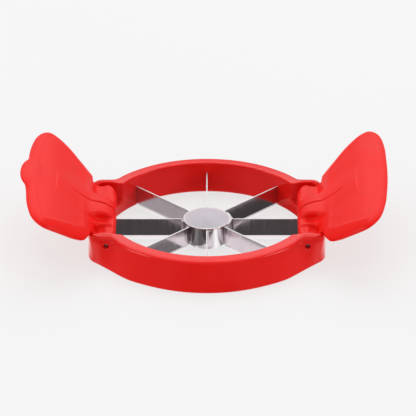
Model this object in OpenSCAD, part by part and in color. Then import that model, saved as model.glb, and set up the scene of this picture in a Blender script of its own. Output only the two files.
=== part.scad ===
// Apple corer and slicer: a round frame, eight radial blades, a central coring ring
// and two leaf-shaped handles that fold inwards on steel hinge pins.
// Millimetres. +Z up, +X to the right handle. The origin is on the coring ring's axis,
// in the plane that the frame stands on.

/* [Frame] */
// Outer radius of the round frame near its foot
frame_r = 52.3; // [51:0.1:54]
// Outer radius of the frame at its top edge
frame_top_r = 51.0; // [50:0.1:52]
// Radius of the opening at the rim
mouth_r = 45.5; // [44.5:0.1:46.5]
// Radius of the opening at the foot
foot_r = 46.6; // [46:0.1:49]
// Height of the rim's inner edge
rim_h = 15.4; // [14:0.1:17]
// Fall of the rim from its inner to its outer edge
rim_fall = 0.5; // [0:0.1:1]
// Rounding of the rim's edges
rim_round = 0.9; // [0.4:0.1:1.2]
// Half length of the frame over its two flat hinge ends
end_x = 53.2; // [52.6:0.1:55]

/* [Hinges] */
// Distance of each hinge pin from the middle
pin_x = 44.8; // [44:0.1:46]
// Height of the hinge pins
pin_z = 11.3; // [11:0.1:12]
// Radius of a hinge pin
pin_r = 1.05; // [0.8:0.05:1.2]
// Half length of a hinge pin
pin_half = 27.8; // [26.5:0.1:28]
// Half width of the gap between a frame end's two ears
gap_half = 24.7; // [24.4:0.1:25]
// Height of the ears
ear_h = 16.4; // [16:0.1:17]

/* [Blades] */
// Number of blades, all alike
blade_count = 8; // [8]
// Thickness of a blade
blade_t = 0.6; // [0.4:0.1:0.9]
// Height of a blade's back edge
blade_top = 10.1; // [9:0.1:10.2]
// Height of a blade's cutting edge
blade_low = 0.8; // [0.2:0.1:1]
// Radius that a blade's outer end reaches inside the frame
blade_end_r = 49.3; // [48.8:0.1:49.6]

/* [Coring ring] */
// Outer radius of the coring ring
core_r = 10.65; // [9:0.05:12]
// Wall of the coring ring
core_wall = 0.6; // [0.4:0.1:0.8]
// Height of the coring ring
core_h = 10.4; // [10.2:0.1:11]

/* [Handles] */
// Distance of a handle's far edge from the middle
handle_x = 81.2; // [80:0.1:83]
// Half thickness of a handle
handle_half_t = 2.3; // [2:0.1:2.6]
// Radius of the barrel around the hinge pin
barrel_r = 4; // [3.6:0.1:4.2]
// Half width of the barrel
barrel_half = 24.2; // [23:0.1:24.2]

/* [Hidden] */
$fn = 96;
curve_steps = 10;               // straight steps in each free curve
over = 1;                       // how far a cutting solid runs past a face
RED = [0.90, 0.13, 0.12];
STEEL = [0.78, 0.77, 0.79];

corner_r = 8.4;                 // rounding of the frame's hinge ends, in plan
corner_x = end_x - corner_r;
corner_y = 19.2;                // where that rounding starts, from the middle line
foot_round = 0.5;               // rounding of the frame's lower outer edge
ear_round = 5.0;                // rounding of an ear's outer top corner
ear_start_x = 40;               // where the rim starts to rise into an ear
ear_flat_x = 43;                // where an ear reaches its full height
ear_ease = 0.2;                 // how far an ear's top stays low where it starts
room_x = 36;                    // inner end of the room between two ears
room_end = 50.9;                // outer end of that room
room_corner = 5;                // rounding of the room's outer corners, in plan
room_flare = 1;                 // how far that rounding starts outside the room's sides
gate_x = 48;                    // where the end wall is lowered for the handle's neck
gate_half = 18.6;               // half width of the lowered part
gate_slope = 0.8;               // rise of the end wall towards the ears
sill_gap = 0.4;                 // clearance of a handle over the end wall
saddle_r = 5.4;                 // clearance cut around the barrel
stop_h = 10.2;                  // height of the wall that the handle rests against
pin_hole_clear = 0.05;          // radial running clearance in a barrel
slot_clear = 0.02;              // clearance of a blade in its slot
neck_round = 1.5;               // rounding of the neck's inner top edge
neck_relief_r = 9.1;            // an ear turns inside this radius of the handle
bevel_h = 1.0;                  // height of a blade's ground bevel
foot_t = 0.4;                   // thickness of the foot that joins a blade to the ring
foot_angle = 11;                // how far a foot wraps round the ring
lap_t = 0.6;                    // thickness of the ring's lapped end
lap_angle = 32;                 // how far the lap runs to each side of +X
lap_step = 0.4;                 // how far the lap stays under the ring's top and over its bevel
core_chamfer = 0.15;            // chamfer of the ring's top edges
heel_gap = 0.3;                 // gap between a handle's heel and its stop
heel_x = [49.4, 53];            // inner and outer end of the heel
neck_half = 19.5;               // half width of the barrel's inner edge
shoulder_w = 20;                // width of the cut that clears a handle's shoulder
tab_half = 13;                  // half width of the thumb tab
tab_reach = 2.8;                // how far the tab stands past the far edge
tab_z = [31.8, 35.0];           // underside and top of the tab
tab_y = 0.8;                    // middle of the tab
split_r = 8.2;                  // depth of a handle's split over the end blade, from the pin
split_gap = 0.2;                // clearance of the split on each side of the blade

// Points of a circular arc in the plane, from angle a0 to a1.
function arc(cx, cy, r, a0, a1, n = 8) =
    [for (i = [0:n]) let (a = a0 + (a1 - a0) * i / n) [cx + r * cos(a), cy + r * sin(a)]];

// A point on a cubic curve with control points p, and its direction.
function bez(p, t) =
    pow(1 - t, 3) * p[0] + 3 * pow(1 - t, 2) * t * p[1] + 3 * (1 - t) * t * t * p[2] + pow(t, 3) * p[3];
function bez_dir(p, t) =
    let (d = pow(1 - t, 2) * (p[1] - p[0]) + 2 * (1 - t) * t * (p[2] - p[1]) + t * t * (p[3] - p[2]))
    d / norm(d);
function curve(p, n = curve_steps) = [for (i = [0:n]) bez(p, i / n)];
function side_curve(p, off, n = curve_steps) =
    [for (i = [0:n]) let (d = bez_dir(p, i / n)) bez(p, i / n) + off * [-d[1], d[0]]];
function backwards(p) = [for (i = [len(p) - 1:-1:0]) p[i]];
function flip_y(p) = [for (q = p) [q[0], -q[1]]];

// ---- frame ---------------------------------------------------------------

// Half section of the round wall: radius across, height up.
module wall_section() {
    rim_out = rim_h - rim_fall;
    inside = mouth_r - 3;
    polygon(concat(
        [[inside, 0], [frame_r - foot_round, 0]],
        arc(frame_r - foot_round, foot_round, foot_round, -90, 0, 4),
        arc(frame_top_r - rim_round, rim_out - rim_round, rim_round, 0, 85),
        [[inside, rim_h]]));
}

// Solid of the round opening, wider at the foot than at the rim.
module mouth() {
    slope = (foot_r - mouth_r) / rim_h;
    rotate_extrude()
        polygon(concat(
            [[0, -over], [foot_r + slope * over, -over]],
            arc(mouth_r + rim_round, rim_h - rim_round, rim_round, 180, 95, 6),
            [[mouth_r + rim_round, rim_h + 4], [0, rim_h + 4]]));
}

// Plan of the frame: a disc whose hinge ends are drawn out to flat faces.
module frame_plan() {
    reach = norm([corner_x, corner_y]);
    turn = atan2(corner_y, corner_x) + acos((frame_r - corner_r) / reach);
    out = [cos(turn), sin(turn)];
    circle(r = frame_r);
    for (mx = [0, 1], my = [0, 1]) mirror([mx, 0]) mirror([0, my]) {
        translate([corner_x, corner_y]) circle(r = corner_r);
        polygon([[0, 0], frame_r * out, [corner_x, corner_y] + corner_r * out, [corner_x, corner_y]]);
        polygon([[0, 0], [corner_x, corner_y], [end_x, corner_y], [end_x, 0]]);
    }
}

// Side view of one frame end: the rim climbs into the ears, which are round outside.
module ear_side() {
    polygon(concat(
        [[ear_start_x, 0], [ear_start_x, rim_h - rim_fall], [ear_flat_x, ear_h - ear_ease],
         [ear_flat_x + 1, ear_h]],
        arc(end_x - ear_round, ear_h - ear_round, ear_round, 90, 0),
        arc(end_x - foot_round, foot_round, foot_round, 0, -90, 4)));
}

module upright(depth) {
    rotate([90, 0, 0]) linear_extrude(depth, center = true) children();
}

module frame_end() {
    intersection() {
        linear_extrude(ear_h + over) frame_plan();
        upright(4 * corner_y) ear_side();
    }
}

// Plan of the room between two ears, smaller by gap all round its outer end.
module room_plan(gap = 0) {
    half = gap_half - gap;
    out = room_end - gap;
    corner_mid = half + room_flare - room_corner;
    intersection() {
        translate([room_x, -half]) square([out - room_x, 2 * half]);
        union() {
            translate([room_x, -2 * half]) square([out - room_corner - room_x, 4 * half]);
            translate([room_x, -corner_mid]) square([out - room_x, 2 * corner_mid]);
            for (side = [-1, 1])
                translate([out - room_corner, side * corner_mid]) circle(r = room_corner);
        }
    }
}

// Height of the end wall at a distance y from the middle line.
function sill(y) = stop_h + gate_slope * (y - gate_half);

// A bar along X whose section is drawn across and up.
module along_x(from, to) {
    translate([from, 0, 0]) rotate([90, 0, 90]) linear_extrude(to - from) children();
}

// The room for a handle's barrel and neck, and the gate over the low middle of the end wall.
module hinge_room() {
    top = 2 * ear_h;
    wide = 3 * gap_half;
    intersection() {
        linear_extrude(top) room_plan();
        union() {
            translate([pin_x, 0, pin_z]) rotate([90, 0, 0]) cylinder(r = saddle_r, h = wide, center = true);
            translate([room_x - over, -wide / 2, pin_z - saddle_r])
                cube([pin_x - room_x + over, wide, top]);
            translate([pin_x, -wide / 2, stop_h]) cube([end_x - pin_x, wide, top]);
        }
    }
    reach = gap_half + 4;
    along_x(gate_x, end_x + over)
        polygon([[-gate_half, stop_h], [gate_half, stop_h], [reach, sill(reach)],
                 [reach, top], [-reach, top], [-reach, sill(reach)]]);
}

module frame() {
    color(RED) difference() {
        union() {
            rotate_extrude() wall_section();
            for (m = [0, 1]) mirror([m, 0, 0]) frame_end();
        }
        mouth();
        for (m = [0, 1]) mirror([m, 0, 0]) {
            hinge_room();
            translate([pin_x, 0, pin_z]) rotate([90, 0, 0])
                cylinder(r = pin_r, h = 2 * frame_r, center = true);
        }
        for (i = [0:blade_count - 1]) rotate(i * 360 / blade_count) blade_strip(slot_clear);
    }
}

// ---- blades and coring ring ----------------------------------------------

// A straight strip along +X with a V-ground lower edge, grown by the clearance grow.
module blade_strip(grow = 0) {
    half = blade_t / 2 + grow;
    low = blade_low - grow;
    rotate([90, 0, 90]) linear_extrude(blade_end_r + grow)
        polygon([[-half, blade_top + grow], [-half, low + bevel_h], [0, low], [half, low + bevel_h],
                 [half, blade_top + grow]]);
}

// One blade: the strip from the ring to the frame, and a bent foot against the ring.
// side is 1 or -1: the way that the foot turns round the ring. seat_r is the radius that
// the blade's inner end stands on.
module blade(number, side, seat_r = core_r) {
    color(STEEL) rotate(number * 360 / blade_count) {
        difference() {
            blade_strip();
            translate([0, 0, -over]) cylinder(r = seat_r, h = core_h + 2 * over);
        }
        rotate(side > 0 ? 0 : -foot_angle) rotate_extrude(angle = foot_angle)
            translate([seat_r, blade_low + bevel_h]) square([foot_t, blade_top - blade_low - 2 * bevel_h]);
    }
}

module coring_ring() {
    inner = core_r - core_wall;
    middle = core_r - core_wall / 2;
    color(STEEL) {
        rotate_extrude()
            polygon([[inner, 0], [inner + 0.1, 0], [core_r, bevel_h], [core_r, core_h - core_chamfer],
                     [core_r - core_chamfer, core_h], [inner + core_chamfer, core_h],
                     [inner, core_h - core_chamfer]]);
        rotate(-lap_angle) rotate_extrude(angle = 2 * lap_angle)
            translate([middle, bevel_h + lap_step])
                square([core_r + lap_t - middle, core_h - bevel_h - 2 * lap_step]);
    }
}

// ---- hinge pins -----------------------------------------------------------

// A plain steel rod with chamfered ends, at hinge pin_x on the side given by side.
module hinge_pin(side) {
    tip = 0.25;
    color(STEEL) translate([side * pin_x, 0, pin_z]) rotate([90, 0, 0]) rotate_extrude()
        polygon([[0, -pin_half], [pin_r - tip, -pin_half], [pin_r, tip - pin_half],
                 [pin_r, pin_half - tip], [pin_r - tip, pin_half], [0, pin_half]]);
}

// ---- handles ---------------------------------------------------------------

// Middle line of the handle's blade in side view, from the neck to the far edge.
mid_line = [[52, 15.5], [60, 20.5], [68, 31], [handle_x - handle_half_t, 31.8]];
// Top of the neck, from over the pin to the start of the leaf.
neck_top = [[42.3, 14.9], [45, 17.4], [48, 19], [52.2, 18.6]];
// Half of the leaf's outline in plan, from the neck round to the far edge.
leaf_side = [[50.2, barrel_half], [52, 31.6], [61.6, 45.3], [70.8, 45.3]];
leaf_corner = [[70.8, 45.3], [74.3, 45.3], [77, 41.5], [78.3, 35]];
leaf_end = [[78.3, 35], [80.1, 26], [handle_x, 13], [handle_x, 0]];

// Side view of the right handle: barrel, neck with its heel, leaf and round far edge.
module handle_side() {
    tip = mid_line[3];
    lean = atan2(bez_dir(mid_line, 1)[1], bez_dir(mid_line, 1)[0]);
    polygon(concat(
        arc(pin_x, pin_z, barrel_r, 160, 345, 20),
        [[heel_x[0], stop_h + heel_gap], [heel_x[1], stop_h + heel_gap]],
        side_curve(mid_line, -handle_half_t),
        arc(tip[0], tip[1], handle_half_t, lean - 90, lean + 90, 12),
        backwards(side_curve(mid_line, handle_half_t)),
        backwards(curve(neck_top)),
        arc(neck_top[0][0] + 0.1, neck_top[0][1] - neck_round, neck_round, 100, 175, 6)));
}

// Plan of the right handle: a neck between the ears and a broad leaf.
module handle_plan() {
    half = concat([[pin_x - 2 * barrel_r, neck_half], [pin_x - barrel_r, neck_half],
                   [pin_x - 1, barrel_half]],
                  curve(leaf_side), curve(leaf_corner), curve(leaf_end));
    polygon(concat(half, backwards(flip_y(half))));
}

// Space of the frame's end wall, grown by its clearance, outside the room.
module end_wall_space() {
    wall_x = end_x + sill_gap;
    reach = gap_half + 3;
    difference() {
        along_x(pin_x, wall_x)
            polygon([[-gate_half, stop_h + heel_gap], [gate_half, stop_h + heel_gap],
                     [reach, sill(reach) + sill_gap], [reach, 0], [-reach, 0],
                     [-reach, sill(reach) + sill_gap]]);
        linear_extrude(2 * ear_h) room_plan(sill_gap);
    }
}

module handle() {
    all_round = 4 * barrel_half;
    difference() {
        intersection() {
            upright(all_round) handle_side();
            linear_extrude(2 * tab_z[1]) handle_plan();
        }
        end_wall_space();
        // The leaf's two shoulders turn round the outside of the ears.
        for (side = [-1, 1])
            translate([pin_x, side * (barrel_half + shoulder_w / 2), pin_z]) rotate([90, 0, 0])
                cylinder(r = neck_relief_r, h = shoulder_w, center = true);
        // The barrel is split where the end blade runs under the pin.
        translate([pin_x, 0, pin_z]) rotate([90, 0, 0])
            cylinder(r = split_r, h = blade_t + 2 * split_gap, center = true);
        translate([pin_x, 0, pin_z]) rotate([90, 0, 0])
            cylinder(r = pin_r + pin_hole_clear, h = all_round, center = true);
    }
}

// The thumb tab in the middle of the left handle's far edge.
module thumb_tab() {
    steps = 16;
    fullness = 0.6;
    root_x = handle_x - 4;
    edge_x = handle_x - over;
    reach = tab_reach + over;
    translate([0, tab_y, tab_z[0]]) linear_extrude(tab_z[1] - tab_z[0])
        polygon(concat([[root_x, 2 - tab_half], [root_x, tab_half - 2]],
            [for (i = [0:steps]) let (y = tab_half * (1 - 2 * i / steps))
                [edge_x + reach * pow(cos(90 * y / tab_half), fullness), y]]));
}

module right_handle() { color(RED) handle(); }

module left_handle() {
    color(RED) mirror([1, 0, 0]) {
        handle();
        thumb_tab();
    }
}

frame();
coring_ring();
blade(0, 1, core_r + lap_t);  // blade_e
blade(1, -1);  // blade_ne
blade(2, 1);  // blade_n
blade(3, 1);  // blade_nw
blade(4, 1);  // blade_w
blade(5, -1);  // blade_sw
blade(6, 1);  // blade_s
blade(7, 1);  // blade_se
hinge_pin(-1);  // left_hinge_pin
hinge_pin(1);  // right_hinge_pin
left_handle();
right_handle();
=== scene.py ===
"""Apple corer and slicer: visual model over the CAD frame, with its floor, light and camera.

Lengths in this file are millimetres unless a name ends in _M; MM turns them into metres.
Curved plastic parts are distance fields (negative inside), meshed on a grid and then
pulled onto the exact surface. Steel parts are swept sections.
"""

import math

import bmesh
import bpy
import numpy as np
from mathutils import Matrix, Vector


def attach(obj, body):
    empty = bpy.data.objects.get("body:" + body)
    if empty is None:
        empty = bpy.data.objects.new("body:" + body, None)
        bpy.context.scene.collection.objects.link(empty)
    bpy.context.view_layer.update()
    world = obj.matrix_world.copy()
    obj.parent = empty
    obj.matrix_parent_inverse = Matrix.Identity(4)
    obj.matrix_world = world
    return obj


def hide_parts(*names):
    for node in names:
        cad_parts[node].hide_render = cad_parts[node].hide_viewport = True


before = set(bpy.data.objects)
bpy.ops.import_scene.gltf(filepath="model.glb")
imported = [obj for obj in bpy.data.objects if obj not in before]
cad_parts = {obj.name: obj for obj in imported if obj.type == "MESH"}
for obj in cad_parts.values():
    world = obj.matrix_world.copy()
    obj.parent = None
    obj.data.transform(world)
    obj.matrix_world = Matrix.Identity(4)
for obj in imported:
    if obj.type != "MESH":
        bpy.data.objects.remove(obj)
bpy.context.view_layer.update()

MM = 0.001

# ---- sizes shared with the CAD model ------------------------------------------

FRAME_R = 52.3
FRAME_TOP_R = 51.0
RIM_H = 15.4
RIM_FALL = 0.5
END_X = 53.2

PIN_X = 44.8
PIN_Z = 11.3
PIN_R = 1.05
PIN_HALF = 27.8
GAP_HALF = 24.7
EAR_H = 16.4
EAR_ROUND = 5.0
SADDLE_R = 5.4
STOP_H = 10.2
ROOM_END = 50.9
ROOM_FLARE = 1.0
ROOM_CORNER = 5.0
ROOM_X = 36.0
GATE_X = 48.0

BLADE_COUNT = 8
BLADE_T = 0.6
BLADE_TOP = 10.1
BLADE_LOW = 0.8
BLADE_END_R = 49.3
BEVEL_H = 1.0
FOOT_ANGLE = 11.0

CORE_R = 10.65
CORE_WALL = 0.6
CORE_H = 10.4
LAP_T = 0.6
LAP_ANGLE = 32.0

HANDLE_T = 2.3
BARREL_R = 4.0
BARREL_HALF = 24.2
SILL_GAP = 0.4
SPLIT_R = 8.2
TAB_Y = 0.8

# ---- sizes that differ a little from the CAD model, or that only this model has -----

MOUTH_R = 45.2
FOOT_R = 45.9
CORNER_R = 9.6
CORNER_X = END_X - CORNER_R
CORNER_Y = 16.6
EAR_Y = 29.3
EAR_CORNER = 6.0
HANDLE_X = 81.1
HEEL_Z = 10.5
RELIEF_R = 8.65

# ---- distance-field tools -------------------------------------------------------


def blend_min(a, b, k):
    """Union of two fields with a fillet of about k between them."""
    h = np.maximum(k - np.abs(a - b), 0.0) / k
    return np.minimum(a, b) - h * h * k * 0.25


def blend_max(a, b, k):
    """Intersection of two fields with a rounding of about k between them."""
    return -blend_min(-a, -b, k)


def ramp(x, low, high):
    """Smooth step from 0 at low to 1 at high."""
    t = np.clip((x - low) / (high - low), 0.0, 1.0)
    return t * t * (3.0 - 2.0 * t)


def swell(distance, width):
    """Bell curve: 1 where distance is 0, falling away over about that width."""
    return np.exp(-((distance / width) ** 2))


def through(x, knots):
    """Smooth curve through (x, value) knots, and straight on past its ends."""
    kx = np.array([k[0] for k in knots], float)
    kv = np.array([k[1] for k in knots], float)
    slope = np.gradient(kv, kx)
    i = np.clip(np.searchsorted(kx, x) - 1, 0, len(kx) - 2)
    width = kx[i + 1] - kx[i]
    t = np.clip((x - kx[i]) / width, 0.0, 1.0)
    past = np.minimum(x - kx[0], 0.0) * slope[0] + np.maximum(x - kx[-1], 0.0) * slope[-1]
    low = (2 * t**3 - 3 * t**2 + 1) * kv[i] + (t**3 - 2 * t**2 + t) * width * slope[i]
    high = (3 * t**2 - 2 * t**3) * kv[i + 1] + (t**3 - t**2) * width * slope[i + 1]
    return low + high + past


def bezier(points, steps):
    """Points of a cubic Bezier curve, without its last one."""
    p = [np.array(q, float) for q in points]
    made = []
    for n in range(steps):
        t = n / steps
        s = 1.0 - t
        made.append(s**3 * p[0] + 3 * s * s * t * p[1] + 3 * s * t * t * p[2] + t**3 * p[3])
    return made


def rounded_box(x, y, half_x, half_y, radius):
    """Signed distance in the plane to a box round the origin, for positive x and y."""
    qx = x - half_x + radius
    qy = y - half_y + radius
    outer = np.hypot(np.maximum(qx, 0.0), np.maximum(qy, 0.0))
    return outer + np.minimum(np.maximum(qx, qy), 0.0) - radius


def outline_distance(px, py, points):
    """Signed distance in the plane to a closed outline, negative inside."""
    best = np.full(np.broadcast(px, py).shape, 1e9)
    inside = np.zeros(best.shape, bool)
    for a, b in zip(points, points[1:] + points[:1]):
        ex, ey = b[0] - a[0], b[1] - a[1]
        wx, wy = px - a[0], py - a[1]
        t = np.clip((wx * ex + wy * ey) / (ex * ex + ey * ey), 0.0, 1.0)
        best = np.minimum(best, (wx - ex * t) ** 2 + (wy - ey * t) ** 2)
        if a[1] != b[1]:
            crosses = (a[1] > py) != (b[1] > py)
            inside ^= crosses & (px < ex * (py - a[1]) / ey + a[0])
    return np.where(inside, -1.0, 1.0) * np.sqrt(best)


def axis(knots):
    """Grid lines from (position, step) knots: each step holds up to the next position."""
    lines = [knots[0][0]]
    for (low, step), (high, _) in zip(knots, knots[1:]):
        count = max(1, round((high - low) / step))
        lines += [low + (high - low) * (n + 1) / count for n in range(count)]
    return np.array(lines)


def field_mesh(field, grid):
    """Quads on the zero surface of a field: one vertex in each cell that the surface crosses."""
    x, y, z = grid
    value = field(x[:, None, None], y[None, :, None], z[None, None, :])
    value = np.broadcast_to(value, (len(x), len(y), len(z)))
    cells = tuple(n - 1 for n in value.shape)
    total = np.zeros((int(np.prod(cells)), 3))
    count = np.zeros(len(total))
    quads = []
    for a in range(3):
        first = [slice(None)] * 3
        second = [slice(None)] * 3
        first[a] = slice(0, -1)
        second[a] = slice(1, None)
        va, vb = value[tuple(first)], value[tuple(second)]
        edge = np.argwhere((va < 0) != (vb < 0))
        fa, fb = va[tuple(edge.T)], vb[tuple(edge.T)]
        t = fa / (fa - fb)
        point = np.stack([grid[k][edge[:, k]] for k in range(3)], 1)
        point[:, a] += t * (grid[a][edge[:, a] + 1] - grid[a][edge[:, a]])
        u, w = (a + 1) % 3, (a + 2) % 3
        around = []
        for du, dw in ((0, 0), (1, 0), (1, 1), (0, 1)):
            cell = edge.copy()
            cell[:, u] -= du
            cell[:, w] -= dw
            flat = np.ravel_multi_index(cell.T, cells, mode="clip")
            np.add.at(total, flat, point)
            np.add.at(count, flat, 1)
            around.append(flat)
        ring = np.stack(around, 1)
        ring[fa >= 0] = ring[fa >= 0][:, ::-1]
        quads.append(ring)
    used = np.flatnonzero(count)
    number = np.full(len(total), -1)
    number[used] = np.arange(len(used))
    return total[used] / count[used][:, None], number[np.concatenate(quads)]


def slope_of(field, points, step=0.02):
    """The field and its gradient at each point."""
    x, y, z = points.T
    here = field(x, y, z)
    grad = np.stack(
        [
            field(x + step, y, z) - here,
            field(x, y + step, z) - here,
            field(x, y, z + step) - here,
        ],
        1,
    )
    return here, grad / step


LEAST_SLOPE = 0.05  # smallest squared gradient that a move is worked out with


def pull(field, points, rounds, most):
    """Moves the points onto the zero surface, at most that far in each round."""
    for _ in range(rounds):
        here, grad = slope_of(field, points)
        size = np.maximum((grad**2).sum(1), LEAST_SLOPE)
        move = -(here / size)[:, None] * grad
        length = np.maximum(np.linalg.norm(move, axis=1), 1e-9)
        points = points + move * np.minimum(1.0, most / length)[:, None]
    return points


def relax(points, quads, share):
    """Moves each vertex towards the middle of the faces around it."""
    middle = points[quads].mean(1)
    total = np.zeros_like(points)
    count = np.zeros(len(points))
    for k in range(4):
        np.add.at(total, quads[:, k], middle)
        np.add.at(count, quads[:, k], 1)
    return points + share * (total / count[:, None] - points)


RELAX_ROUNDS = 3
RELAX_SHARE = 0.5
FIRST_PULLS = 3
LATER_PULLS = 2
SMOOTH = 180.0  # crease angle that keeps every edge smooth


def moulded(name, field, grid, most=0.2):
    """A smooth mesh object of a field."""
    points, quads = field_mesh(field, grid)
    points = pull(field, points, FIRST_PULLS, most)
    for _ in range(RELAX_ROUNDS):
        points = relax(points, quads, RELAX_SHARE)
        points = pull(field, points, LATER_PULLS, most)
    return mesh_object(name, points, quads, SMOOTH)


# ---- mesh tools -------------------------------------------------------------------


def mesh_object(name, points, faces, crease_angle):
    """A mesh object from points in millimetres, smooth except at edges over crease_angle."""
    mesh = bpy.data.meshes.new(name)
    mesh.from_pydata((np.array(points) * MM).tolist(), [], [list(map(int, f)) for f in faces])
    mesh.validate()
    mesh.update()
    mesh.shade_smooth()
    if crease_angle < SMOOTH:
        mesh.set_sharp_from_angle(angle=math.radians(crease_angle))
    made = bpy.data.objects.new(name, mesh)
    bpy.context.scene.collection.objects.link(made)
    return made


def swept(name, sections, closed, crease_angle=35.0):
    """A solid through equal-sized loops of points; closed joins the last loop to the first."""
    size = len(sections[0])
    points = [p for loop in sections for p in loop]
    faces = []
    spans = len(sections) if closed else len(sections) - 1
    for s in range(spans):
        t = (s + 1) % len(sections)
        for k in range(size):
            n = (k + 1) % size
            faces.append((s * size + k, s * size + n, t * size + n, t * size + k))
    if not closed:
        faces.append(tuple(range(size))[::-1])
        faces.append(tuple(len(points) - size + k for k in range(size)))
    made = mesh_object(name, points, faces, crease_angle)
    work = bmesh.new()
    work.from_mesh(made.data)
    bmesh.ops.recalc_face_normals(work, faces=work.faces)
    work.to_mesh(made.data)
    work.free()
    return made


# ---- frame ---------------------------------------------------------------------------


INSIDE = -30.0  # where the quarter outline is closed, well inside the solid
CORNER_STEPS = 16
ROUND_STEPS = 24

# The end wall rises from its middle to the ears between these distances.
SILL_RISE = 6.4
SILL_FROM = 18.5
SILL_TO = 27.0

# The wall stands out a little beside the hinge ends, at its foot and at its top.
FOOT_SWELL = 0.85
FOOT_SWELL_X = 36.5
FOOT_SWELL_WIDTH = 7.5
CROWN_SWELL = 0.15
CROWN_SWELL_X = 37.0
CROWN_SWELL_WIDTH = 4.0
CROWN_FILLET = 2.4

# The rim rises to the ears between these distances.
EAR_FROM = 38.5
EAR_TO = 44.5
EAR_PAST = 0.4  # how far the ears' upper rounding reaches past the end wall

RIM_ROUND = 1.3
EAR_TOP_ROUND = 2.9  # added to RIM_ROUND on the ears
EAR_END_ROUND = 1.0
BASE_ROUND = 0.7
BORE_ROUND = 0.9
SADDLE_FILLET = 0.3
STOP_FILLET = 0.5
ROOM_SIDE_ROUND = 0.8
ROOM_END_ROUND = 0.4
ROOM_EDGE_ROUND = 0.6
GATE_ROUND = 0.7
EAR_HOLE_CLEAR = 0.12
EAR_HOLE_ROUND = 0.35


def frame_outline():
    """A quarter of the frame's plan, closed well inside the solid."""
    reach = math.hypot(CORNER_X, CORNER_Y)
    turn = math.atan2(CORNER_Y, CORNER_X) + math.acos((FRAME_R - CORNER_R) / reach)
    points = [(INSIDE, INSIDE), (END_X, INSIDE), (END_X, CORNER_Y)]
    for n in range(1, CORNER_STEPS + 1):
        a = turn * n / CORNER_STEPS
        points.append((CORNER_X + CORNER_R * math.cos(a), CORNER_Y + CORNER_R * math.sin(a)))
    for n in range(ROUND_STEPS + 1):
        a = turn + (math.pi / 2 - turn) * n / ROUND_STEPS
        points.append((FRAME_R * math.cos(a), FRAME_R * math.sin(a)))
    return points + [(INSIDE, FRAME_R)]


FRAME_OUTLINE = frame_outline()


def corner_sill(ay):
    """Height that the frame's end wall has left at a distance ay from the middle line."""
    return STOP_H + SILL_RISE * ramp(ay, SILL_FROM, SILL_TO)


def barrel_room(ax, ay, z, axle):
    """The room that a handle's barrel turns in, axle being the distance from its pin."""
    low = PIN_Z - SADDLE_R
    room = blend_min(axle - SADDLE_R, np.maximum(ax - PIN_X, low - z), SADDLE_FILLET)
    room = blend_min(room, np.maximum(PIN_X - ax, STOP_H - z), STOP_FILLET)
    room = np.maximum(room, ROOM_X - ax)
    room = blend_max(room, ay - GAP_HALF, ROOM_SIDE_ROUND)
    plan = rounded_box(ax, ay, ROOM_END, GAP_HALF + ROOM_FLARE, ROOM_CORNER)
    return blend_max(room, plan, ROOM_END_ROUND)


def frame_field(x, y, z):
    """The frame: round wall, hinge ends with ears, bore, barrel rooms and pin holes."""
    ax, ay = np.abs(x), np.abs(y)
    r = np.hypot(x, y)
    plan = outline_distance(ax, ay, FRAME_OUTLINE)
    foot = plan - FOOT_SWELL * swell(ax - FOOT_SWELL_X, FOOT_SWELL_WIDTH)
    ears = rounded_box(ax, ay, END_X, EAR_Y, EAR_CORNER)
    crown = blend_min(r - FRAME_TOP_R, ears, CROWN_FILLET)
    crown = crown - CROWN_SWELL * swell(ax - CROWN_SWELL_X, CROWN_SWELL_WIDTH)
    loft = np.clip(z / RIM_H, 0.0, 1.0)
    outside = foot + (crown - foot) * loft

    fall = RIM_FALL * (r - MOUTH_R) / (FRAME_TOP_R - MOUTH_R)
    rise = ramp(ax, EAR_FROM, EAR_TO)
    top = z - (RIM_H - fall) * (1.0 - rise) - EAR_H * rise
    shoulder = rounded_box(ax, z, END_X + EAR_PAST, EAR_H, EAR_ROUND)

    bore = (FOOT_R - (FOOT_R - MOUTH_R) * z / RIM_H) - r
    solid = blend_max(outside, top, RIM_ROUND + EAR_TOP_ROUND * rise)
    solid = blend_max(solid, shoulder, EAR_END_ROUND)
    solid = blend_max(solid, -z, BASE_ROUND)
    solid = blend_max(solid, bore, BORE_ROUND)

    axle = np.hypot(ax - PIN_X, z - PIN_Z)
    gate = np.maximum(corner_sill(ay) - z, GATE_X - ax)
    solid = blend_max(solid, -barrel_room(ax, ay, z, axle), ROOM_EDGE_ROUND)
    solid = blend_max(solid, -gate, GATE_ROUND)
    return blend_max(solid, -(axle - PIN_R - EAR_HOLE_CLEAR), EAR_HOLE_ROUND)


# ---- handles ---------------------------------------------------------------------------

# Side views as (distance, height): the leaf's middle surface, then the neck's ridge.
LEAF_LINE = [
    (44, 12.0),
    (48, 13.0),
    (52, 15.5),
    (58, 20.0),
    (64.3, 25.3),
    (71, 29.7),
    (78.5, 31.8),
    (84, 32.2),
]
NECK_LINE = [
    (40, 13.6),
    (42, 15.4),
    (45, 17.6),
    (48, 18.7),
    (52, 19.6),
    (55, 20.9),
    (60, 24.6),
    (66, 29.0),
]
# Top of the low part of the neck, then of the ledges beside its ridge.
LOW_LINE = [
    (40, 13.3),
    (42, 14.0),
    (44.8, 13.5),
    (47.5, 12.3),
    (50, 11.9),
    (52, 13.2),
    (54, 15.6),
    (58, 19.5),
]
LEDGE_LINE = [(40, 13.6), (43, 14.2), (47, 14.2), (50, 14.9), (53, 16.6), (56, 19.3), (60, 23.0)]
# Plan of the neck's two ends: (distance, half width).
END_LINE = [(39.0, 17.2), (41.2, 20.2), (43.5, 23.0), (46.0, 24.1), (50.0, 24.2), (60.0, 24.2)]

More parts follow.
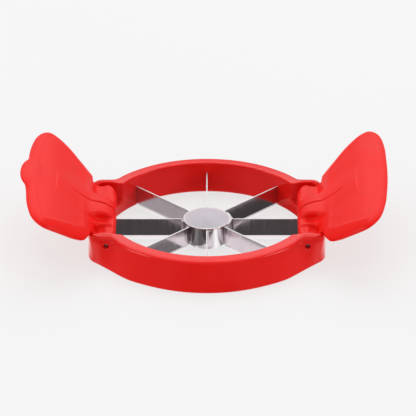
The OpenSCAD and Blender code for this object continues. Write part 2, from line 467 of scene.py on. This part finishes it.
# Plan of half a leaf: its shoulder, its corner and its far edge.
LEAF_NEAR_X = 50.6
LEAF_NEAR_Y = 22.0
LEAF_BACK_Y = -20.0  # where the half outline is closed, past the middle line
LEAF_CURVES = (
    ((50.4, 27.8), (52.6, 32.4), (63.8, 44.5), (71.2, 45.3)),
    ((71.2, 45.3), (74.3, 45.3), (77.0, 41.5), (78.3, 35.0)),
    ((78.3, 35.0), (80.1, 26.0), (HANDLE_X, 13.0), (HANDLE_X, 0.0)),
)
LEAF_STEPS = 20


def leaf_outline():
    """Half of the leaf's plan, closed on the far side of the middle line."""
    points = [np.array((LEAF_NEAR_X, LEAF_BACK_Y)), np.array((LEAF_NEAR_X, LEAF_NEAR_Y))]
    for c in LEAF_CURVES:
        points += bezier(c, LEAF_STEPS)
    return points + [np.array((HANDLE_X, 0.0)), np.array((HANDLE_X, LEAF_BACK_Y))]


LEAF_OUTLINE = leaf_outline()

ROLL = 1.5  # how full the leaf's rolled edge is: 2 is an ellipse, 1 a plain wedge
ROLL_WIDTH = 4.2
ROLL_SOFT = 1e-6  # keeps the root below away from zero
SKEW = 0.022  # how far the right leaf leans for each millimetre to the rear
SKEW_BEND = 0.018
LEAF_SHIFT = 0.3  # how far the leaf sits towards the front
LEAF_SPREAD = 0.3  # growth of the leaf's outline between the next two distances
SPREAD_FROM = 14.0
SPREAD_TO = 28.0
BEAD = 0.16  # raised line along the inner side of the rolled edge
BEAD_IN = 0.3
BEAD_WIDTH = 0.9
PROBE = 0.05  # distance over which the side line's slope is taken


def leaf_field(x, y, z):
    """The leaf: a sheet with a thin rounded edge that follows its side line."""
    ax = np.abs(x)
    skew = np.where(x > 0.0, SKEW, 0.0)
    lean = skew * (y + SKEW_BEND * np.maximum(y, 0.0) ** 2)
    plan = outline_distance(ax - lean, np.abs(y + LEAF_SHIFT), LEAF_OUTLINE)
    plan = plan - LEAF_SPREAD * ramp(np.abs(y), SPREAD_FROM, SPREAD_TO)
    mid = through(ax, LEAF_LINE)
    slope = (through(ax + PROBE, LEAF_LINE) - mid) / PROBE
    off = (z - mid) / np.sqrt(1.0 + slope * slope)
    across = np.maximum(plan + ROLL_WIDTH, 0.0) * HANDLE_T / ROLL_WIDTH
    roll = (across**ROLL + np.abs(off) ** ROLL + ROLL_SOFT) ** (1.0 / ROLL) - HANDLE_T
    return roll - BEAD * swell(plan + ROLL_WIDTH + BEAD_IN, BEAD_WIDTH)


# The neck is fuller on its rear side, and most of all at one distance.
REAR_FROM = 3.0
REAR_TO = 13.0
REAR_FULL = 1.5
REAR_BULGE = 1.0
REAR_BULGE_X = 49.0
REAR_BULGE_WIDTH = 2.6

# Fields over a sloping line are scaled to about true distance.
LOW_SCALE = 0.85
RIDGE_SCALE = 0.75
UNDER_SCALE = 0.8

LOW_END = 57.0
LOW_SKIN = 2.4  # how far the low part reaches under the leaf's middle surface
CORE_START = 41.2
CORE_SKIN = 1.5  # the same for the ridge and the ledges
LEDGE_END = 58.0
RIDGE_END = 66.0

LIP = 0.5
LIP_Y = 12.9
LIP_WIDTH = 0.9
LIP_FAN = 0.07
LEDGE_HALF = 13.9
LEDGE_FAN = 0.08
FAN_X = 47.0  # distance where the ledges are narrowest
RIDGE_HALF = 8.0
RIDGE_FAN = 0.045
RIDGE_FAN_X = 44.0
RIDGE_CROWN = 0.008

BARREL_ROUND = 0.8
LEDGE_ROUND = 0.9
LEDGE_CORE_ROUND = 1.0
RIDGE_ROUND = 1.4
RIDGE_CORE_ROUND = 1.6
LOW_FILLET = 1.0
FOLD_FILLET = 0.8
NECK_END_ROUND = 1.2


def neck_field(x, y, z):
    """The neck: barrel, heel and the gathered folds over them, fuller on its rear side."""
    ax, ay = np.abs(x), np.abs(y)
    bulge = REAR_FULL + REAR_BULGE * swell(ax - REAR_BULGE_X, REAR_BULGE_WIDTH)
    low_top = through(ax, LOW_LINE) + ramp(y, REAR_FROM, REAR_TO) * bulge
    leaf_mid = through(ax, LEAF_LINE)
    ends = ay - np.minimum(through(ax, END_LINE), BARREL_HALF)
    axle = np.hypot(ax - PIN_X, z - PIN_Z)
    barrel = blend_max(axle - BARREL_R, z - low_top, BARREL_ROUND)

    under = np.maximum(np.maximum(HEEL_Z - z, PIN_X - ax), ax - LOW_END)
    under = np.maximum(under, (leaf_mid - LOW_SKIN - z) * UNDER_SCALE)
    low = np.maximum((z - low_top) * LOW_SCALE, under)

    core = np.maximum(PIN_Z - z, CORE_START - ax)
    core = np.maximum(core, (leaf_mid - CORE_SKIN - z) * UNDER_SCALE)

    fan = (ax - FAN_X) ** 2
    lip = LIP * swell(ay - LIP_Y - LIP_FAN * fan, LIP_WIDTH)
    ledge = (z - through(ax, LEDGE_LINE) - lip) * LOW_SCALE
    ledge = blend_max(ledge, ay - (LEDGE_HALF + LEDGE_FAN * fan), LEDGE_ROUND)
    ledge = blend_max(np.maximum(ledge, ax - LEDGE_END), core, LEDGE_CORE_ROUND)

    ridge = (z - through(ax, NECK_LINE)) * RIDGE_SCALE + RIDGE_CROWN * ay * ay
    ridge = blend_max(ridge, ay - (RIDGE_HALF + RIDGE_FAN * (ax - RIDGE_FAN_X) ** 2), RIDGE_ROUND)
    ridge = blend_max(np.maximum(ridge, ax - RIDGE_END), core, RIDGE_CORE_ROUND)

    neck = blend_min(barrel, low, LOW_FILLET)
    neck = blend_min(neck, ledge, FOLD_FILLET)
    neck = blend_min(neck, ridge, FOLD_FILLET)
    return blend_max(neck, ends, NECK_END_ROUND)


LEAF_FILLET = 2.2
RELIEF_HALF = 24.0  # the cut round the barrel's ends starts outside this distance
RELIEF_SLOPE = 9.0
RELIEF_ROUND = 0.9
SILL_X = 45.5
SILL_ROUND = 0.4
GROOVE = 0.75
GROOVE_WIDTH = 0.42
GROOVE_FROM = 54.0
GROOVE_TO = 64.0
SPLIT_HALF = 0.42
SPLIT_ROUND = 0.25
HANDLE_HOLE_CLEAR = 0.06
HANDLE_HOLE_ROUND = 0.3


def handle_field(x, y, z):
    """A handle: leaf and neck, cut clear of the frame, split over the end blade and bored."""
    ax, ay = np.abs(x), np.abs(y)
    axle = np.hypot(ax - PIN_X, z - PIN_Z)
    solid = blend_min(leaf_field(x, y, z), neck_field(x, y, z), LEAF_FILLET)
    relief = axle - RELIEF_R + np.maximum(RELIEF_HALF - ay, 0.0) * RELIEF_SLOPE
    solid = blend_max(solid, -relief, RELIEF_ROUND)
    plug = rounded_box(ax, ay, ROOM_END - SILL_GAP, GAP_HALF + ROOM_FLARE - SILL_GAP, ROOM_CORNER)
    sill = np.maximum(z - corner_sill(ay) - SILL_GAP, -plug)
    solid = blend_max(solid, -np.maximum(sill, SILL_X - ax), SILL_ROUND)
    groove = GROOVE * (1.0 - ramp(ax, GROOVE_FROM, GROOVE_TO)) * swell(ay, GROOVE_WIDTH)
    solid = solid + groove * ramp(z - through(ax, LEAF_LINE), -1.0, 1.0)
    split = np.maximum(ay - SPLIT_HALF, axle - SPLIT_R)
    solid = blend_max(solid, -split, SPLIT_ROUND)
    return blend_max(solid, -(axle - PIN_R - HANDLE_HOLE_CLEAR), HANDLE_HOLE_ROUND)


TAB_MIDDLE = (79.3, TAB_Y, 33.3)
TAB_HALF = (4.4, 12.4, 1.6)
TAB_FILLET = 1.0


def tab_handle_field(x, y, z):
    """The left handle, with the thumb tab on its far edge."""
    parts = zip((np.abs(x), y, z), TAB_MIDDLE, TAB_HALF)
    across, along, up = [((value - middle) / half) ** 2 for value, middle, half in parts]
    tab = (np.sqrt(across + along + up) - 1.0) * TAB_HALF[2]
    return blend_min(handle_field(x, y, z), tab, TAB_FILLET)


# ---- steel ----------------------------------------------------------------------------------


def blade_section(half, low, high, bevel, trim):
    """Section of a strip across and up: ground lower edge, eased upper edge."""
    return [
        (0.0, low),
        (half, low + bevel),
        (half, high - trim),
        (half - trim, high),
        (trim - half, high),
        (-half, high - trim),
        (-half, low + bevel),
    ]


BLADE_CREASE = 12.0
BLADE_TRIM = 0.09  # chamfer of a blade's upper edges
BEND_R = 0.9  # bend between a blade and its foot
STRAIGHT_STEPS = 12
BEND_STEPS = 9
FOOT_STEPS = 5
FOOT_FULL = 0.5  # how full a foot is, where the blade itself is 1
FOOT_LIFT = 2.0  # rise of the lower edge from full 1 to full 0, and the next for the upper
FOOT_DROP = 1.0
THIN_SHARE = 0.7  # thickness at full 0, and what full 1 adds to it
FULL_SHARE = 0.3


def blade(name, node, number, side, seat):
    """One blade: a straight strip from the frame, then a short foot bent round the ring."""
    turn = math.radians(number * 360.0 / BLADE_COUNT)
    half = BLADE_T / 2
    path = []
    foot_r = seat + half
    start = foot_r + BEND_R
    for n in range(STRAIGHT_STEPS + 1):
        s = n / STRAIGHT_STEPS
        path.append(((BLADE_END_R + (start - BLADE_END_R) * s, 0.0), (0.0, 1.0), 1.0))
    for n in range(1, BEND_STEPS + 1):
        a = math.pi / 2 * n / BEND_STEPS
        p = (start - BEND_R * math.sin(a), side * BEND_R * (1.0 - math.cos(a)))
        full = 1.0 - (1.0 - FOOT_FULL) * n / BEND_STEPS
        path.append((p, (side * math.sin(a), math.cos(a)), full))
    first = BEND_R / foot_r
    last = math.radians(FOOT_ANGLE)
    for n in range(1, FOOT_STEPS + 1):
        a = first + (last - first) * n / FOOT_STEPS
        p = (foot_r * math.cos(a), side * foot_r * math.sin(a))
        path.append((p, (side * math.cos(a), math.sin(a)), FOOT_FULL))
    loops = []
    for (px, py), (nx, ny), full in path:
        low = BLADE_LOW + (1.0 - full) * FOOT_LIFT
        high = BLADE_TOP - (1.0 - full) * FOOT_DROP
        thick = half * (THIN_SHARE + FULL_SHARE * full)
        loop = []
        for u, v in blade_section(thick, low, high, BEVEL_H, BLADE_TRIM):
            loop.append((px + nx * u, py + ny * u, v))
        loops.append(loop)
    made = swept(name, loops, False, BLADE_CREASE)
    made.rotation_euler.z = turn
    made.data.transform(made.matrix_basis)
    made.rotation_euler.z = 0.0
    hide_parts(node)
    return made


def lathe(profile, steps):
    """Loops of a profile (radius, height) turned a full circle."""
    loops = []
    for n in range(steps):
        a = math.radians(360.0 * n / steps)
        loops.append([(r * math.cos(a), r * math.sin(a), z) for r, z in profile])
    return loops


MOST_EASE = 0.45  # largest share of a side that the easing of one corner takes


def eased(points, cut, steps=3):
    """A closed outline with each corner cut to a short curve of that reach."""
    made = []
    count = len(points)
    for i in range(count):
        here = np.array(points[i], float)
        back = np.array(points[i - 1], float) - here
        on = np.array(points[(i + 1) % count], float) - here
        reach = min(cut, np.linalg.norm(back) * MOST_EASE, np.linalg.norm(on) * MOST_EASE)
        a = here + back / np.linalg.norm(back) * reach
        b = here + on / np.linalg.norm(on) * reach
        for n in range(steps + 1):
            t = n / steps
            made.append((1 - t) ** 2 * a + 2 * t * (1 - t) * here + t * t * b)
    return made


RING_CREASE = 40.0


def join(name, parts):
    """One object of several mesh objects."""
    points = []
    faces = []
    for p in parts:
        base = len(points)
        points += [tuple(v.co / MM) for v in p.data.vertices]
        faces += [[base + k for k in f.vertices] for f in p.data.polygons]
        bpy.data.objects.remove(p)
    return mesh_object(name, points, faces, RING_CREASE)


RING_LAND = 0.1  # flat that the bevel leaves at the ring's lower edge
RING_EASE = 0.25
RING_STEPS = 144
LAP_STEPS = 40
LAP_EASE = 0.16
LAP_LOW_GAP = 0.4  # how far the lap stays over the ring's bevel, and then under its top
LAP_HIGH_GAP = 0.12
LAP_SEAT = 0.02  # how far the lap reaches into the ring
LAP_SKIN = 0.02  # part of the lap's thickness that stays the same along it
LAP_SLACK = 0.06  # how much less than LAP_T the growing part comes to
LAP_START = 0.25  # share of the full thickness at the lap's free end
LAP_RISE = 9.0
SATIN_SLOT = 1


def coring_ring():
    """The coring ring: a bevelled tube, and the lap of its seam on the right."""
    inner = CORE_R - CORE_WALL
    corners = [
        (inner, 0.0),
        (inner + RING_LAND, 0.0),
        (CORE_R, BEVEL_H),
        (CORE_R, CORE_H),
        (inner, CORE_H),
    ]
    tube = swept("tube", lathe(eased(corners, RING_EASE), RING_STEPS), True)
    low, high = BEVEL_H + LAP_LOW_GAP, CORE_H - LAP_HIGH_GAP
    seat = CORE_R - LAP_SEAT
    loops = []
    for n in range(LAP_STEPS + 1):
        s = n / LAP_STEPS
        a = math.radians(-LAP_ANGLE + 2 * LAP_ANGLE * s)
        lift = LAP_SKIN + (LAP_T - LAP_SLACK) * min(1.0, LAP_START + s * LAP_RISE)
        outer = CORE_R + lift
        section = eased([(seat, low), (outer, low), (outer, high), (seat, high)], LAP_EASE)
        loops.append([(r * math.cos(a), r * math.sin(a), z) for r, z in section])
    lap = swept("lap", loops, False)
    made = join("coring_ring_strip", [tube, lap])
    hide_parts("coring_ring")
    # The outside of the ring wears polished steel whose base colour holds bands of painted reflection.
    wear(made, RING_STEEL_PAINTED_REFLECTIONS)
    made.data.materials.append(RING_SATIN)
    for face in made.data.polygons:
        inward = face.center.xy.length < (CORE_R - CORE_WALL / 2) * MM
        if inward and abs(face.normal.z) < UPRIGHT:
            face.material_index = SATIN_SLOT
    dull_edges(made)
    return made


PIN_MIDDLE = 0.02  # radius at which the round end is closed by a flat
PIN_TIP = 0.28  # reach of the eased end
PIN_EASE_R = 0.07
PIN_EASE_Y = 0.09
PIN_SIDES = 32
PIN_RINGS = (-20.0, -10.0, 0.0, 10.0, 20.0)


def hinge_pin(name, node, side):
    """A hinge pin along Y with eased ends."""
    profile = [
        (PIN_MIDDLE, -PIN_HALF),
        (PIN_R - PIN_TIP, -PIN_HALF),
        (PIN_R - PIN_EASE_R, PIN_EASE_Y - PIN_HALF),
        (PIN_R, PIN_TIP - PIN_HALF),
    ]
    profile += [(PIN_R, y) for y in PIN_RINGS]
    profile += [(r, -y) for r, y in profile[3::-1]]
    loops = []
    for r, y in profile:
        ring = []
        for n in range(PIN_SIDES):
            a = -2 * math.pi * n / PIN_SIDES
            ring.append((side * PIN_X + r * math.cos(a), y, PIN_Z + r * math.sin(a)))
        loops.append(ring)
    made = swept(name, loops, False)
    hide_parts(node)
    return made


# ---- materials ---------------------------------------------------------------------------------


# Noise values between these two are spread over a material's range.
NOISE_LOW = 0.3
NOISE_HIGH = 0.7


def node_setup(name):
    """A new material with its nodes, its links and its shader."""
    made = bpy.data.materials.new(name)
    made.use_nodes = True
    nodes, links = made.node_tree.nodes, made.node_tree.links
    return made, nodes, links, nodes["Principled BSDF"]


def noise(nodes, links, scale, detail, stretch=(1.0, 1.0, 1.0)):
    """A noise texture in the object's own metres."""
    place = nodes.new("ShaderNodeTexCoord")
    mapping = nodes.new("ShaderNodeMapping")
    mapping.inputs["Scale"].default_value = stretch
    made = nodes.new("ShaderNodeTexNoise")
    made.inputs["Scale"].default_value = scale
    made.inputs["Detail"].default_value = detail
    links.new(place.outputs["Object"], mapping.inputs["Vector"])
    links.new(mapping.outputs["Vector"], made.inputs["Vector"])
    return made


def spread(nodes, links, source, low, high):
    """Maps a noise to the range low..high."""
    made = nodes.new("ShaderNodeMapRange")
    made.inputs["From Min"].default_value = NOISE_LOW
    made.inputs["From Max"].default_value = NOISE_HIGH
    made.inputs["To Min"].default_value = low
    made.inputs["To Max"].default_value = high
    links.new(source.outputs["Fac"], made.inputs["Value"])
    return made


def two_tone(nodes, links, source, first, second):
    """Maps a noise to the colours from first to second."""
    made = nodes.new("ShaderNodeValToRGB")
    made.color_ramp.elements[0].position = NOISE_LOW
    made.color_ramp.elements[0].color = (*first, 1.0)
    made.color_ramp.elements[1].position = NOISE_HIGH
    made.color_ramp.elements[1].color = (*second, 1.0)
    links.new(source.outputs["Fac"], made.inputs["Fac"])
    return made


def bumpy(nodes, links, source, strength, depth_m):
    """A faint bump from a noise."""
    made = nodes.new("ShaderNodeBump")
    made.inputs["Strength"].default_value = strength
    made.inputs["Distance"].default_value = depth_m
    links.new(source.outputs["Fac"], made.inputs["Height"])
    return made


TONE_SCALE = 60.0
GRAIN_SCALE = 2600.0
GRAIN_STRENGTH = 0.06
GRAIN_DEPTH_M = 0.00004
PLASTIC_SPREAD = 0.04  # how far the roughness varies to each side


def plastic(name, first, second, rough, gloss):
    """Moulded plastic: a faint change of tone and a fine grain."""
    made, nodes, links, shader = node_setup(name)
    tone = noise(nodes, links, TONE_SCALE, 3.0)
    grain = noise(nodes, links, GRAIN_SCALE, 2.0)
    colour = two_tone(nodes, links, tone, first, second)
    links.new(colour.outputs["Color"], shader.inputs["Base Color"])
    sheen = spread(nodes, links, tone, rough - PLASTIC_SPREAD, rough + PLASTIC_SPREAD)
    links.new(sheen.outputs["Result"], shader.inputs["Roughness"])
    bump = bumpy(nodes, links, grain, GRAIN_STRENGTH, GRAIN_DEPTH_M)
    links.new(bump.outputs["Normal"], shader.inputs["Normal"])
    shader.inputs["Specular IOR Level"].default_value = gloss
    return made


LINE_SCALE = 700.0
CLOUD_SCALE = 120.0
LINE_STRENGTH = 0.05
LINE_DEPTH_M = 0.00002
STEEL_SPREAD = 0.05
EVEN = (1.0, 1.0, 1.0)


def steel(name, first, second, rough, stretch, metal=1.0, bands=EVEN):
    """Ground or polished steel: fine lines along stretch, and two tones in bands; where the two tones lie
    far apart, as on the coring ring, the bands are painted reflections.
    """
    made, nodes, links, shader = node_setup(name)
    lines = noise(nodes, links, LINE_SCALE, 3.0, stretch)
    cloud = noise(nodes, links, CLOUD_SCALE, 2.0, bands)
    colour = two_tone(nodes, links, cloud, first, second)
    links.new(colour.outputs["Color"], shader.inputs["Base Color"])
    sheen = spread(nodes, links, lines, rough - STEEL_SPREAD, rough + STEEL_SPREAD)
    links.new(sheen.outputs["Result"], shader.inputs["Roughness"])
    bump = bumpy(nodes, links, lines, LINE_STRENGTH, LINE_DEPTH_M)
    links.new(bump.outputs["Normal"], shader.inputs["Normal"])
    shader.inputs["Metallic"].default_value = metal
    return made


def wear(obj, material):
    """Gives an object one material in place of what it had."""
    obj.data.materials.clear()
    obj.data.materials.append(material)
    return obj


UPRIGHT = 0.5  # a face whose normal rises more than this looks up


def dull_edges(obj):
    """Gives the faces that look up the duller look of a sheared edge."""
    obj.data.materials.append(EDGE_STEEL)
    last = len(obj.data.materials) - 1
    for face in obj.data.polygons:
        if face.normal.z > UPRIGHT:
            face.material_index = last


# ---- the object ----------------------------------------------------------------------------------

UP_LINES = (1.0, 1.0, 0.06)  # grinding lines that run up the strip
PIN_LINES = (1.0, 0.05, 1.0)  # lines along the pin
# Upright bands round the coring ring: the stretch of its painted reflections.
RING_PAINTED_REFLECTION_BANDS = (2.2, 2.2, 0.05)  # upright bands round the ring

FRAME_RED = plastic("frame_red", (0.70, 0.006, 0.004), (0.74, 0.007, 0.005), 0.18, 0.25)
HANDLE_RED = plastic("handle_red", (0.74, 0.005, 0.002), (0.78, 0.006, 0.003), 0.42, 0.16)
BLADE_STEEL = steel("blade_polish", (0.63, 0.555, 0.58), (0.71, 0.63, 0.66), 0.16, UP_LINES)
# The coring ring's dark and bright bands are partly real reflection in its polished metal and partly
# painted reflections in its base colour, from 0.26 to 0.95.
RING_STEEL_PAINTED_REFLECTIONS = steel(
    "ring_polish_painted_reflections", (0.26, 0.22, 0.23), (0.95, 0.92, 0.94), 0.12, UP_LINES, bands=RING_PAINTED_REFLECTION_BANDS
)
EDGE_STEEL = steel("steel_edge", (0.62, 0.61, 0.62), (0.70, 0.69, 0.70), 0.50, EVEN, 0.35)
RING_SATIN = steel("ring_satin", (0.80, 0.77, 0.81), (0.86, 0.83, 0.87), 0.50, UP_LINES, 0.45)
PIN_STEEL = steel("pin_grind", (0.42, 0.41, 0.42), (0.52, 0.51, 0.52), 0.30, PIN_LINES)

BODY = "root"
GRID_STEP = 0.42

# Reach of the two plastic grids: the frame, then a handle and the fine strip over its split.
FRAME_HALF = 54.0
FRAME_UP = (-1.0, 17.6)
HANDLE_OUT = (39.5, 84.5)
HANDLE_HALF = 46.4
HANDLE_UP = (6.0, 36.4)
STRIP_HALF = 1.2
STRIP_STEP = 0.16


def add(obj, body, material):
    """Puts an object on a body of the frame, in one material."""
    wear(obj, material)
    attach(obj, body)
    return obj


fine = GRID_STEP


def even_axis(low, high):
    """Grid lines from low to high at the plastic's step."""
    return axis([(low, fine), (high, fine)])


frame_grid = (
    even_axis(-FRAME_HALF, FRAME_HALF),
    even_axis(-FRAME_HALF, FRAME_HALF),
    even_axis(*FRAME_UP),
)
frame_piece = moulded("frame_body", frame_field, frame_grid)
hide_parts("frame")
add(frame_piece, BODY, FRAME_RED)

for side, node, field in ((1, "right_handle", handle_field), (-1, "left_handle", tab_handle_field)):
    handle_low, handle_high = sorted(side * out for out in HANDLE_OUT)
    strip_edges = ((-HANDLE_HALF, fine), (-STRIP_HALF, STRIP_STEP), (STRIP_HALF, fine), (HANDLE_HALF, fine))
    handle_grid = (
        even_axis(handle_low, handle_high),
        axis(strip_edges),
        even_axis(*HANDLE_UP),
    )
    leaf = moulded(node + "_leaf", field, handle_grid)
    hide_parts(node)
    add(leaf, node, HANDLE_RED)

# Each blade: its word, its place counted from +X, the way its foot turns, and the radius it seats on.
BLADES = (
    ("e", 0, 1, CORE_R + LAP_T),
    ("ne", 1, -1, CORE_R),
    ("n", 2, 1, CORE_R),
    ("nw", 3, 1, CORE_R),
    ("w", 4, 1, CORE_R),
    ("sw", 5, -1, CORE_R),
    ("s", 6, 1, CORE_R),
    ("se", 7, 1, CORE_R),
)
for word, number, side, seat in BLADES:
    strip = blade("blade_" + word + "_strip", "blade_" + word, number, side, seat)
    add(strip, BODY, BLADE_STEEL)
    dull_edges(strip)

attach(coring_ring(), BODY)
add(hinge_pin("left_pin_rod", "left_hinge_pin", -1), BODY, PIN_STEEL)
add(hinge_pin("right_pin_rod", "right_hinge_pin", 1), BODY, PIN_STEEL)

# ---- floor, light and camera -------------------------------------------------------------------

FLOOR_HALF_M = 3.0
FLOOR_M = -0.0001  # just under the object's base
FLOOR_GREY = ((0.17, 0.17, 0.17), (0.18, 0.18, 0.18))
FLOOR_GLOW = 0.69
WHITE = (1.0, 1.0, 1.0, 1.0)
BLACK = (0.0, 0.0, 0.0, 1.0)

bpy.ops.mesh.primitive_plane_add(size=2 * FLOOR_HALF_M, location=(0.0, 0.0, FLOOR_M))
floor = bpy.context.object
floor.name = "floor"
floor_mat, floor_nodes, floor_links, floor_shader = node_setup("pale_floor")
floor_tone = noise(floor_nodes, floor_links, 3.0, 1.0)
floor_colour = two_tone(floor_nodes, floor_links, floor_tone, *FLOOR_GREY)
floor_links.new(floor_colour.outputs["Color"], floor_shader.inputs["Base Color"])
floor_shader.inputs["Roughness"].default_value = 0.9
floor_shader.inputs["Emission Color"].default_value = WHITE
floor_shader.inputs["Emission Strength"].default_value = FLOOR_GLOW
floor_shader.inputs["Specular IOR Level"].default_value = 0.1
floor.data.materials.append(floor_mat)
floor.visible_glossy = False


def lamp(name, spot_m, target_m, size_m, watts):
    """A rectangular soft light aimed at a point."""
    data = bpy.data.lights.new(name, "AREA")
    data.shape = "RECTANGLE"
    data.size, data.size_y = size_m
    data.energy = watts
    made = bpy.data.objects.new(name, data)
    bpy.context.scene.collection.objects.link(made)
    made.location = spot_m
    aim = Vector(target_m) - Vector(spot_m)
    made.rotation_euler = aim.to_track_quat("-Z", "Y").to_euler()
    return made


CARD_SIZE_M = (0.042, 0.012, 1.0)
CARD_R = 29.0  # distance of a card's middle from the ring's axis
CARD_COLOUR = (1.0, 0.98, 1.0, 1.0)


def card(name, number, shift, level, glow):
    """A narrow self-lit card beneath one blade, just under the floor, seen only in reflections."""
    turn = math.radians(number * 360.0 / BLADE_COUNT)
    bpy.ops.mesh.primitive_plane_add(size=1.0)
    made = bpy.context.object
    made.name = name
    made.scale = CARD_SIZE_M
    made.rotation_euler.z = turn
    spot = Vector((CARD_R * math.cos(turn) + shift, CARD_R * math.sin(turn), level))
    made.location = spot * MM
    glowing, _, _, shader = node_setup(name)
    shader.inputs["Base Color"].default_value = BLACK
    shader.inputs["Specular IOR Level"].default_value = 0.0
    shader.inputs["Emission Color"].default_value = CARD_COLOUR
    shader.inputs["Emission Strength"].default_value = glow
    made.data.materials.append(glowing)
    made.visible_camera = False
    made.visible_diffuse = False
    made.visible_transmission = False
    made.visible_shadow = False


# Each card: name, number of its blade, shift along X, level, and strength of its glow.
CARDS = (
    ("card_ne", 1, 10.5, -0.4, 0.07),
    ("card_nw", 3, -10.5, -0.4, 0.50),
    ("card_sw", 5, 10.5, -0.8, 0.24),
    ("card_se", 7, -9.5, -0.4, 1.00),
)
for values in CARDS:
    card(*values)

# Each lamp: name, place, target, size and watts.
MIDDLE_M = (0.0, 0.0, 0.0)
SIDE_TARGET_M = (0.0, 0.0, 0.01)
LAMPS = (
    ("rear_softbox", (0.0, 1.55, 0.95), MIDDLE_M, (2.2, 0.7), 6.5),
    ("top_softbox", (0.0, 0.55, 1.3), MIDDLE_M, (1.2, 0.8), 6.5),
    ("left_fill", (-1.5, -0.5, 0.5), SIDE_TARGET_M, (0.7, 0.7), 8.5),
    ("right_fill", (1.5, -0.5, 0.5), SIDE_TARGET_M, (0.7, 0.7), 8.5),
)
for values in LAMPS:
    lamp(*values)

world = bpy.data.worlds.new("studio")
bpy.context.scene.world = world
world.use_nodes = True
sky = world.node_tree.nodes
wires = world.node_tree.links
way = sky.new("ShaderNodeTexCoord")
parts = sky.new("ShaderNodeSeparateXYZ")
wires.new(way.outputs["Generated"], parts.inputs["Vector"])


# Brightness along one direction: from, to, value at from, value at to.
SIDEWAYS = (0.2, 0.62, 0.08, 0.38)
BEHIND = (0.1, 0.8, 0.0, 1.1)
BENEATH = (-0.82, -0.58, 1.3, 0.0)
ABOVE = (0.05, 0.6, 0.32, 0.78)
HORIZON = (-0.15, 0.05, 0.0, 1.0)  # share of the sky above against the ranges under it


def sky_range(source, low_at, high_at, low_value, high_value):
    """A smooth change of brightness along one direction of the sky."""
    made = sky.new("ShaderNodeMapRange")
    made.interpolation_type = "SMOOTHSTEP"
    made.inputs["From Min"].default_value = low_at
    made.inputs["From Max"].default_value = high_at
    made.inputs["To Min"].default_value = low_value
    made.inputs["To Max"].default_value = high_value
    wires.new(source, made.inputs["Value"])
    return made.outputs["Result"]


def sky_math(kind, first, second=None):
    """One step of arithmetic on the sky's brightness."""
    made = sky.new("ShaderNodeMath")
    made.operation = kind
    wires.new(first, made.inputs[0])
    if second is not None:
        wires.new(second, made.inputs[1])
    return made.outputs["Value"]


sideways = sky_range(sky_math("ABSOLUTE", parts.outputs["X"]), *SIDEWAYS)
behind = sky_range(parts.outputs["Y"], *BEHIND)
beneath = sky_range(parts.outputs["Z"], *BENEATH)
under = sky_math("MAXIMUM", sky_math("MAXIMUM", sideways, behind), beneath)
above = sky_range(parts.outputs["Z"], *ABOVE)
horizon = sky_range(parts.outputs["Z"], *HORIZON)
mixed = sky.new("ShaderNodeMix")
mixed.data_type = "FLOAT"
wires.new(horizon, mixed.inputs["Factor"])
wires.new(under, mixed.inputs["A"])
wires.new(above, mixed.inputs["B"])
wires.new(mixed.outputs["Result"], sky["Background"].inputs["Strength"])
sky["Background"].inputs["Color"].default_value = WHITE

SENSOR_MM = 36.0
VIEW_WIDTH_M = 0.1872
DISTANCE_M = 2.025
ELEVATION = math.radians(27.45)
AIM_M = Vector((0.0005, 0.0, 0.0155))
camera_data = bpy.data.cameras.new("camera")
camera_data.sensor_width = SENSOR_MM
camera_data.lens = SENSOR_MM * DISTANCE_M / VIEW_WIDTH_M
camera = bpy.data.objects.new("camera", camera_data)
bpy.context.scene.collection.objects.link(camera)
back = Vector((0.0, -math.cos(ELEVATION), math.sin(ELEVATION)))
camera.location = AIM_M + back * DISTANCE_M
camera.rotation_euler = (-back).to_track_quat("-Z", "Y").to_euler()
bpy.context.scene.camera = camera
bpy.context.scene.view_settings.view_transform = "Standard"
